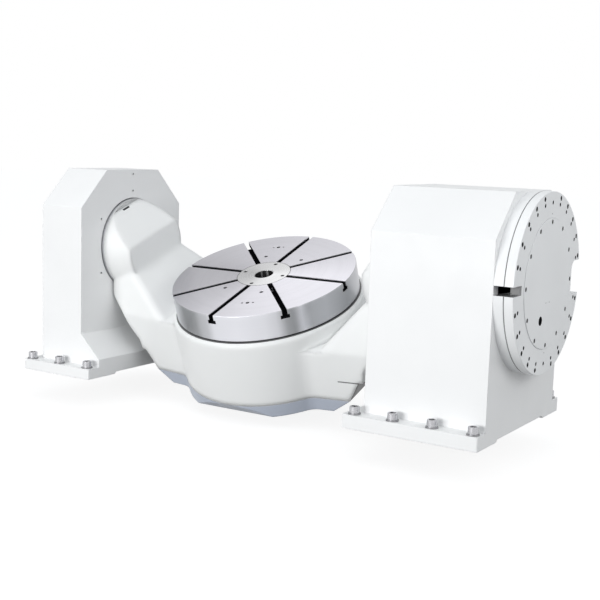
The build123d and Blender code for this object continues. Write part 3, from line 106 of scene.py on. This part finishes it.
class Look:
    """A node material with short calls for what the materials here share."""

    def __init__(self, name):
        self.material = bpy.data.materials.new(name)
        self.material.use_nodes = True
        self.tree = self.material.node_tree
        self.tree.nodes.clear()
        self.out = self.new("ShaderNodeOutputMaterial")
        self.shader = self.new("ShaderNodeBsdfPrincipled")
        self.link(self.shader.outputs[0], self.out.inputs["Surface"])
        self.place = self.new("ShaderNodeTexCoord").outputs["Object"]

    def new(self, kind, **settings):
        """Adds a node and sets its plain properties."""
        node = self.tree.nodes.new(kind)
        for key, value in settings.items():
            setattr(node, key, value)
        return node

    def link(self, a, b):
        """Joins an output to an input."""
        self.tree.links.new(a, b)

    def put(self, socket, value):
        """Links an output to a socket, or writes a plain value on it."""
        if hasattr(value, "is_linked"):
            self.link(value, socket)
        else:
            socket.default_value = value

    def math(self, operation, a, b=0.0):
        """One arithmetic step on two values."""
        node = self.new("ShaderNodeMath", operation=operation)
        for socket, value in zip(node.inputs, (a, b)):
            self.put(socket, value)
        return node.outputs[0]

    def span(self, value, low, high, to_low=0.0, to_high=1.0):
        """Maps a value from one span onto another, clamped."""
        node = self.new("ShaderNodeMapRange", clamp=True)
        for socket, number in zip(node.inputs, (value, low, high, to_low, to_high)):
            self.put(socket, number)
        return node.outputs[0]

    def noise(self, scale, detail=3.0, roughness=0.5, place=None):
        """Noise of a scale per metre."""
        node = self.new("ShaderNodeTexNoise")
        self.link(place or self.place, node.inputs["Vector"])
        node.inputs["Scale"].default_value = scale
        node.inputs["Detail"].default_value = detail
        node.inputs["Roughness"].default_value = roughness
        return node.outputs[0]

    def blend(self, share, a, b):
        """Mixes two colours."""
        node = self.new("ShaderNodeMix", data_type="RGBA")
        self.put(node.inputs[0], share)
        for socket, value in ((node.inputs[6], a), (node.inputs[7], b)):
            self.put(socket, value if hasattr(value, "is_linked") else (*value[:3], 1.0))
        return node.outputs[2]

    def local(self, origin, tilt):
        """The place on a surface, counted from an origin and turned back about X by tilt."""
        shift = self.new("ShaderNodeVectorMath", operation="SUBTRACT")
        self.link(self.place, shift.inputs[0])
        shift.inputs[1].default_value = origin
        turn = self.new("ShaderNodeVectorRotate", rotation_type="X_AXIS")
        self.link(shift.outputs[0], turn.inputs["Vector"])
        turn.inputs["Angle"].default_value = -tilt
        return turn.outputs[0]

    def parts(self, vector):
        """A vector's three numbers."""
        node = self.new("ShaderNodeSeparateXYZ")
        self.link(vector, node.inputs[0])
        return node.outputs[0], node.outputs[1], node.outputs[2]

    def reach(self, x, y):
        """How far a place lies from an axis."""
        return self.math("SQRT", self.math("ADD", self.math("MULTIPLY", x, x), self.math("MULTIPLY", y, y)))

    def within(self, value, low, high):
        """One between two numbers and nothing outside them."""
        above = self.math("GREATER_THAN", value, low)
        return self.math("MULTIPLY", above, self.math("LESS_THAN", value, high))

    def near(self, value, middle, half):
        """One within half a width of a number and nothing beyond it."""
        return self.within(value, middle - half, middle + half)

    def all_of(self, *shares):
        """The product of several shares."""
        product = shares[0]
        for share in shares[1:]:
            product = self.math("MULTIPLY", product, share)
        return product

    def ramp(self, value, stops):
        """A grey level that runs through stops of place and level."""
        node = self.new("ShaderNodeValToRGB")
        self.link(value, node.inputs[0])
        elements = node.color_ramp.elements
        while len(elements) < len(stops):
            elements.new(0.5)
        for element, (place, level) in zip(elements, stops):
            element.position = place
            element.color = (level, level, level, 1.0)
        return node.outputs[0]

    def bump(self, height, distance, normal=None):
        """A normal that follows a height, laid over another normal where one is given."""
        node = self.new("ShaderNodeBump")
        self.put(node.inputs["Height"], height)
        node.inputs["Distance"].default_value = distance
        node.inputs["Strength"].default_value = 1.0
        if normal is not None:
            self.link(normal, node.inputs["Normal"])
        return node.outputs[0]

    def soft_edge(self, radius, samples=6):
        """A normal that rounds the edges, and how much of an edge each point is."""
        node = self.new("ShaderNodeBevel", samples=samples)
        node.inputs["Radius"].default_value = radius
        geometry = self.new("ShaderNodeNewGeometry")
        dot = self.new("ShaderNodeVectorMath", operation="DOT_PRODUCT")
        self.link(node.outputs[0], dot.inputs[0])
        self.link(geometry.outputs["Normal"], dot.inputs[1])
        edge = self.span(dot.outputs["Value"], 0.98, 0.80)
        return node.outputs[0], edge

    def set(self, **values):
        """Writes or links the shader's inputs; underscores stand for spaces."""
        for key, value in values.items():
            self.put(self.shader.inputs[key.replace("_", " ")], value)


def paint(name, colour, worn, roughness=0.42, edge=0.0022, grain=0.00006, painted_shade=None):
    """Satin machine paint on a casting: fine orange peel, faint clouds, edges a little worn.

    The last argument gives the share of painted shade at each place, where a place lies in a hole, gap or
    slope that the lamps don't reach and is darkened towards near black."""
    look = Look(name)
    clouds = look.noise(3.1, 4.0, 0.55)
    colour_2 = [c * 0.965 for c in colour]
    base = look.blend(look.span(clouds, 0.35, 0.65), colour, colour_2)
    specks = look.span(look.noise(520.0, 2.0, 0.6), 0.70, 0.76)
    base = look.blend(look.math("MULTIPLY", specks, 0.10), base, worn)
    normal, edge_share = look.soft_edge(edge)
    rub = look.math("MULTIPLY", edge_share, look.span(look.noise(60.0, 4.0, 0.7), 0.42, 0.62))
    base = look.blend(look.math("MULTIPLY", rub, 0.35), base, worn)
    peel = look.noise(260.0, 3.0, 0.6)
    rough = look.span(look.noise(14.0, 3.0), 0.3, 0.7, roughness - 0.05, roughness + 0.07)
    if painted_shade:
        # Painted shade: holes, gaps, lines and shaded slopes darkened towards near black
        base = look.blend(painted_shade(look), base, PAINTED_SHADE_COLOUR)
    look.set(Base_Color=base, Roughness=rough, Normal=look.bump(peel, grain, normal),
             Specular_IOR_Level=0.45)
    return look.material


def metal(name, colour, roughness):
    """Machined metal with fine tool marks, a few clouds and edges lightened as a painted highlight."""
    look = Look(name)
    marks = look.noise(180.0, 3.0, 0.65)
    patches = look.noise(9.0, 3.0, 0.5)
    base = look.blend(look.span(marks, 0.35, 0.65), [c * 0.93 for c in colour], colour)
    base = look.blend(look.math("MULTIPLY", look.span(patches, 0.4, 0.7), 0.25), base,
                      [c * 0.86 for c in colour])
    normal, edge_share = look.soft_edge(METAL_EDGE, 4)
    # Painted highlight: edges lightened
    base = look.blend(look.math("MULTIPLY", edge_share, 0.35), base, [min(c * 1.25, 1) for c in colour])
    rough = look.span(marks, 0.3, 0.7, roughness - ROUGH_SPREAD, roughness + ROUGH_SPREAD)
    look.set(Base_Color=base, Metallic=1.0, Roughness=rough, Normal=look.bump(marks, METAL_GRAIN, normal))
    return look.material


def plain(name, colour, roughness, metallic=0.0):
    """A small part's material: colour with a fine grain and bump."""
    look = Look(name)
    marks = look.noise(120.0, 3.0, 0.6)
    base = look.blend(look.span(marks, 0.3, 0.7), [c * 0.85 for c in colour], colour)
    rough = look.span(marks, 0.3, 0.7, roughness - ROUGH_SPREAD, roughness + ROUGH_SPREAD)
    look.set(Base_Color=base, Metallic=metallic, Roughness=rough, Normal=look.bump(marks, PLAIN_GRAIN))
    return look.material


def disc_painted_shade(look):
    """Painted shade in the end disc's holes, on the walls of its front slot and in its seam."""
    x, y, z = look.parts(look.local(CABLE_HOLE, 0.0))
    hole = look.all_of(look.math("LESS_THAN", look.reach(y, z), CABLE_HOLE_RADIUS),
                       look.math("GREATER_THAN", x, 0.0))
    x, y, z = look.parts(look.local(END_SLOT, 0.0))
    slot = look.all_of(look.near(y, 0.0, END_SLOT_HALF[0]), look.near(z, 0.0, END_SLOT_HALF[1]),
                       look.math("GREATER_THAN", x, 0.0), END_SLOT_SHARE)
    x, y, z = look.parts(look.local((0, 0, AXIS_HEIGHT), 0.0))
    across = look.reach(y, z)
    sunk = look.all_of(look.within(x, DISC_SEAM + DISC_SEAM_HALF, DISC_FACE - HOLE_SHADE_DROP),
                       look.within(across, *SCREW_RING),
                       look.math("GREATER_THAN", look.math("ABSOLUTE", z), CUTOUT_HALF))
    cover_sunk = look.all_of(look.within(x, DISC_SEAM + DISC_SEAM_HALF, COVER_FACE - HOLE_SHADE_DROP),
                             look.math("LESS_THAN", across, COVER_EDGE))
    seam = look.all_of(look.near(x, DISC_SEAM, DISC_SEAM_HALF),
                       look.math("GREATER_THAN", across, DISC_EDGE), DISC_SEAM_SHARE)
    return look.math("MAXIMUM", look.math("MAXIMUM", look.math("MAXIMUM", hole, slot), seam),
                     look.math("MAXIMUM", sunk, cover_sunk))


def cradle_painted_shade(look):
    """Painted shade in the hub pocket, in the gap under the table, along an arm's lip line and on the end
    slopes.
    """
    u, v, w = look.parts(look.local((0, 0, AXIS_HEIGHT), CRADLE_TILT))
    pocket = look.all_of(*(
        look.near(value, middle, half)
        for value, middle, half in zip((u, v, w), HUB_POCKET, HUB_POCKET_HALF)))
    line = look.all_of(look.near(w, LIP_DROP, LIP_LINE_HALF),
                       look.math("GREATER_THAN", u, LIP_START), LIP_LINE_SHARE)
    end_slope = look.all_of(look.math("LESS_THAN", w, LIP_DROP), end_facing(look, u), END_SLOPE_SHARE)
    gap = look.all_of(look.math("GREATER_THAN", w, BOWL_TOP),
                      look.math("LESS_THAN", look.reach(u, v), BOWL_GAP_EDGE), BOWL_GAP_SHARE)
    return look.math("MAXIMUM", look.math("MAXIMUM", pocket, gap), look.math("MAXIMUM", line, end_slope))


def end_facing(look, u):
    """Where a surface near the cradle's ends faces outwards and down, where the supports' shade is painted
    on.
    """
    normal_x, _, normal_z = look.parts(look.new("ShaderNodeNewGeometry").outputs["Normal"])
    faces_out = look.math("GREATER_THAN", look.math("ABSOLUTE", normal_x), FACES_END)
    return look.all_of(faces_out, look.math("LESS_THAN", normal_z, FACES_DOWN),
                       look.math("GREATER_THAN", look.math("ABSOLUTE", u), END_START))


def tray_end_painted_shade(look):
    """Painted shade on the tray's bevelled ends, which hang in the supports' shade."""
    u, _, _ = look.parts(look.local((0, 0, AXIS_HEIGHT), CRADLE_TILT))
    return look.math("MULTIPLY", end_facing(look, u), TRAY_END_SHARE)


# Painted sheen round the table's axis, bands of reflected light and dark fixed to the table, and painted
# shade with bright streaks in the bore: a place in the full turn and a grey level
RIM_PAINTED_SHEEN = (
    (0.00, 0.70), (0.08, 0.85), (0.14, 0.72), (0.165, 0.50), (0.180, 0.24), (0.212, 0.26),
    (0.224, 0.46), (0.238, 0.56), (0.252, 0.90), (0.294, 0.95), (0.34, 0.86), (0.360, 0.72),
    (0.376, 0.32), (0.389, 0.34), (0.401, 1.00), (0.416, 0.50), (0.45, 0.62), (0.50, 0.40),
    (0.62, 0.70), (0.78, 0.50), (1.00, 0.70))
FACE_PAINTED_SHEEN = (
    (0.00, 0.50), (0.10, 0.54), (0.20, 0.64), (0.30, 0.86), (0.42, 0.98), (0.52, 1.00), (0.62, 0.80),
    (0.72, 0.74), (0.86, 0.66), (1.00, 0.50))
BORE_PAINTED_SHADE_AND_SHEEN = (
    (0.00, 0.10), (0.15, 0.06), (0.765, 0.06), (0.780, 0.85), (0.802, 0.85), (0.818, 0.10),
    (0.872, 0.12), (0.882, 0.95), (0.898, 0.95), (0.912, 0.12), (1.00, 0.10))


def turned_table(name, colour, tint, rough_low, rough_high):
    """The table's ground face and turned rim: fine rings and a painted sheen round its axis.

    The sheen is painted on and runs round with the angle, as a turned face throws its light, and the slots,
    the line round the centre plate and the bore are painted dark inside as shade."""
    look = Look(name)
    place = look.local((0, 0, AXIS_HEIGHT), CRADLE_TILT)
    u, v, w = look.parts(place)
    across = look.reach(u, v)
    rings_at = look.new("ShaderNodeCombineXYZ")
    look.link(across, rings_at.inputs[0])
    look.link(w, rings_at.inputs[1])
    fine = look.noise(1500.0, 2.0, 0.7, rings_at.outputs[0])
    broad = look.noise(42.0, 3.0, 0.6, rings_at.outputs[0])
    patches = look.noise(5.0, 3.0, 0.5)
    base = look.blend(look.span(broad, 0.35, 0.65), [c * 0.95 for c in colour], colour)
    base = look.blend(look.math("MULTIPLY", look.span(patches, 0.35, 0.7), 0.30), base,
                      [c * 0.90 for c in colour])
    turn = look.span(look.math("ARCTAN2", v, u), -pi, pi)
    on_rim = look.math("GREATER_THAN", across, TABLE_RIM)
    # Painted sheen: bands of reflection multiplied into the colour
    sheen = look.blend(on_rim, look.ramp(turn, FACE_PAINTED_SHEEN), look.ramp(turn, RIM_PAINTED_SHEEN))
    lit = look.new("ShaderNodeMix", data_type="RGBA", blend_type="MULTIPLY")
    lit.inputs[0].default_value = 1.0
    look.link(base, lit.inputs[6])
    look.link(sheen, lit.inputs[7])
    base = look.blend(on_rim, lit.outputs[2], look.blend(0.25, lit.outputs[2], tint))
    normal, edge_share = look.soft_edge(TABLE_EDGE, 4)
    # Painted highlight: edges lightened towards white
    base = look.blend(look.math("MULTIPLY", edge_share, 0.6), base, (0.95, 0.95, 0.96))
    # Painted shade in the slots and along the line round the centre plate
    below = look.within(w, TABLE_UNDERSIDE + FOOT_MARGIN, TABLE_FACE - SLOT_SHADE_DROP)
    slots = look.all_of(below, look.within(across, CENTRE_PLATE_EDGE, TABLE_RIM))
    shade = look.math("MAXIMUM", slots, look.near(across, CENTRE_PLATE_EDGE, CENTRE_LINE_HALF))
    base = look.blend(shade, base, PAINTED_SHADE_COLOUR)
    # Painted shade in the bore, with painted bright streaks of reflection
    in_bore = look.all_of(look.math("LESS_THAN", across, BORE_EDGE),
                          look.math("LESS_THAN", w, TABLE_FACE - BORE_SHADE_DROP))
    base = look.blend(in_bore, base, look.ramp(turn, BORE_PAINTED_SHADE_AND_SHEEN))
    rough = look.span(fine, 0.3, 0.7, rough_low, rough_high)
    look.set(Base_Color=base, Metallic=look.span(shade, 0.0, 1.0, 0.80, 0.0), Roughness=rough,
             Normal=look.bump(fine, RING_GRAIN, normal),
             Specular_IOR_Level=look.span(shade, 0.0, 1.0, 0.5, 0.0))
    return look.material


WHITE = paint("housing white", (0.88, 0.885, 0.885), (0.60, 0.61, 0.62))
CRADLE_WHITE = paint("cradle white", (0.89, 0.90, 0.895), (0.62, 0.63, 0.64), edge=0.022,
                     painted_shade=cradle_painted_shade)
DISC = paint("disc grey", (0.88, 0.89, 0.895), (0.60, 0.61, 0.63), 0.38, 0.0015, 0.00003,
             disc_painted_shade)
TRAY = paint("tray grey-blue", (0.46, 0.50, 0.58), (0.28, 0.30, 0.34), 0.45, 0.004,
             painted_shade=tray_end_painted_shade)
TABLE = turned_table("table steel", (0.87, 0.86, 0.92), (0.62, 0.66, 0.66), 0.27, 0.40)
CENTRE = turned_table("centre steel", (0.90, 0.90, 0.91), (0.90, 0.90, 0.91), 0.20, 0.30)
BOLT = metal("bolt steel", (0.50, 0.50, 0.52), 0.27)
# The washers are painted darker than bare steel, standing in for the shade under the bolt heads
WASHER_PAINTED_SHADE = metal("washer steel", (0.30, 0.30, 0.31), 0.34)
DARK_SCREW = plain("dark screw", (0.012, 0.012, 0.013), 0.60)
MACHINED = metal("machined steel", (0.58, 0.59, 0.61), 0.33)
BEARING = metal("bearing steel", (0.72, 0.73, 0.75), 0.18)
JACKET = metal("jacket aluminium", (0.70, 0.71, 0.72), 0.36)
STATOR = metal("stator iron", (0.22, 0.23, 0.25), 0.5)
WINDING = plain("winding resin", (0.36, 0.11, 0.04), 0.30)
MAGNET = metal("magnet nickel", (0.60, 0.60, 0.57), 0.22)
CLAMP = metal("clamp steel", (0.60, 0.61, 0.63), 0.28)
RUBBER = plain("seal rubber", (0.02, 0.02, 0.022), 0.62)
SCALE = metal("scale steel", (0.68, 0.69, 0.71), 0.25)
HEAD = plain("head anodised", (0.10, 0.11, 0.12), 0.42, 0.4)

SLOT_LOOKS = {
    "housing_paint": WHITE, "disc_paint": DISC, "cradle_paint": CRADLE_WHITE,
    "lower_cover_paint": TRAY, "table_steel": TABLE, "centre_steel": CENTRE, "bolt_steel": BOLT,
    "dark_screw": DARK_SCREW, "washer_steel": WASHER_PAINTED_SHADE, "machined_steel": MACHINED,
    "bearing_steel": BEARING, "jacket_aluminium": JACKET, "stator_iron": STATOR,
    "winding_resin": WINDING, "magnet": MAGNET, "clamp_steel": CLAMP, "seal_rubber": RUBBER,
    "encoder_steel": SCALE, "encoder_head": HEAD}

for row in frame["record"]["subparts"]:
    obj = frame["nodes"][row["node"]]
    look = SLOT_LOOKS[row["material_slot"]]
    if not obj.data.materials:
        obj.data.materials.append(look)
    for k in range(len(obj.material_slots)):
        obj.material_slots[k].material = look


def floor():
    """A wide pale floor just below the cradle's swing; it keeps the part's soft shadow."""
    mesh = bpy.data.meshes.new("floor")
    h = FLOOR_SIZE / 2
    mesh.from_pydata([(-h, -h, FLOOR_HEIGHT), (h, -h, FLOOR_HEIGHT), (h, h, FLOOR_HEIGHT),
                      (-h, h, FLOOR_HEIGHT)], [], [(0, 1, 2, 3)])
    obj = bpy.data.objects.new("floor", mesh)
    bpy.context.scene.collection.objects.link(obj)
    look = Look("floor white")
    look.tree.nodes.remove(look.shader)
    diffuse = look.new("ShaderNodeBsdfDiffuse")
    diffuse.inputs["Color"].default_value = (FLOOR_GREY, FLOOR_GREY, FLOOR_GREY, 1)
    glow = look.new("ShaderNodeEmission")
    ray = look.new("ShaderNodeLightPath")
    seen = look.math("MAXIMUM", ray.outputs["Is Camera Ray"], ray.outputs["Is Glossy Ray"])
    look.link(look.math("MULTIPLY", seen, FLOOR_GLOW), glow.inputs["Strength"])
    add = look.new("ShaderNodeAddShader")
    look.link(diffuse.outputs[0], add.inputs[0])
    look.link(glow.outputs[0], add.inputs[1])
    look.link(add.outputs[0], look.out.inputs["Surface"])
    mesh.materials.append(look.material)


def world():
    """Plain white behind the part, and an even pale surround as its light."""
    back = bpy.data.worlds.new("surround")
    back.use_nodes = True
    bpy.context.scene.world = back
    tree = back.node_tree
    tree.nodes.clear()
    out = tree.nodes.new("ShaderNodeOutputWorld")
    seen = tree.nodes.new("ShaderNodeBackground")
    seen.inputs["Color"].default_value = (1, 1, 1, 1)
    light = tree.nodes.new("ShaderNodeBackground")
    light.inputs["Color"].default_value = SKY_TINT
    light.inputs["Strength"].default_value = SKY_STRENGTH
    mix = tree.nodes.new("ShaderNodeMixShader")
    ray = tree.nodes.new("ShaderNodeLightPath")
    plainly_seen = tree.nodes.new("ShaderNodeMath")
    plainly_seen.operation = "MAXIMUM"
    tree.links.new(ray.outputs["Is Camera Ray"], plainly_seen.inputs[0])
    tree.links.new(ray.outputs["Is Glossy Ray"], plainly_seen.inputs[1])
    tree.links.new(plainly_seen.outputs[0], mix.inputs[0])
    tree.links.new(light.outputs[0], mix.inputs[1])
    tree.links.new(seen.outputs[0], mix.inputs[2])
    tree.links.new(mix.outputs[0], out.inputs["Surface"])


def lamp(name, place, aim, size, watts):
    """A soft rectangular lamp aimed at a point."""
    data = bpy.data.lights.new(name, "AREA")
    data.shape = "RECTANGLE"
    data.size, data.size_y = size
    data.energy = watts
    obj = bpy.data.objects.new(name, data)
    obj.location = place
    obj.rotation_euler = (Vector(aim) - Vector(place)).to_track_quat("-Z", "Y").to_euler()
    bpy.context.scene.collection.objects.link(obj)


def camera():
    """The photograph's camera, solved from the base bolts, the slots, the rim and the disc."""
    ahead = Vector((-sin(CAMERA_YAW) * cos(CAMERA_PITCH), cos(CAMERA_YAW) * cos(CAMERA_PITCH),
                    sin(CAMERA_PITCH)))
    right = Vector((cos(CAMERA_YAW), sin(CAMERA_YAW), 0))
    up = right.cross(ahead)
    rolled_right = right * cos(CAMERA_ROLL) + up * sin(CAMERA_ROLL)
    rolled_up = up * cos(CAMERA_ROLL) - right * sin(CAMERA_ROLL)
    data = bpy.data.cameras.new("camera")
    data.sensor_width = SENSOR
    data.sensor_fit = "HORIZONTAL"
    data.lens = SENSOR * FOCAL_PIXELS / FRAME_PIXELS
    data.clip_end = VIEW_DEPTH
    obj = bpy.data.objects.new("camera", data)
    turn = Matrix((rolled_right, rolled_up, -ahead)).transposed().to_4x4()
    obj.matrix_world = Matrix.Translation(CAMERA_PLACE) @ turn
    bpy.context.scene.collection.objects.link(obj)
    bpy.context.scene.camera = obj


floor()
world()
for row in LAMPS:
    lamp(*row)
camera()

bpy.context.scene.view_settings.view_transform = "Standard"
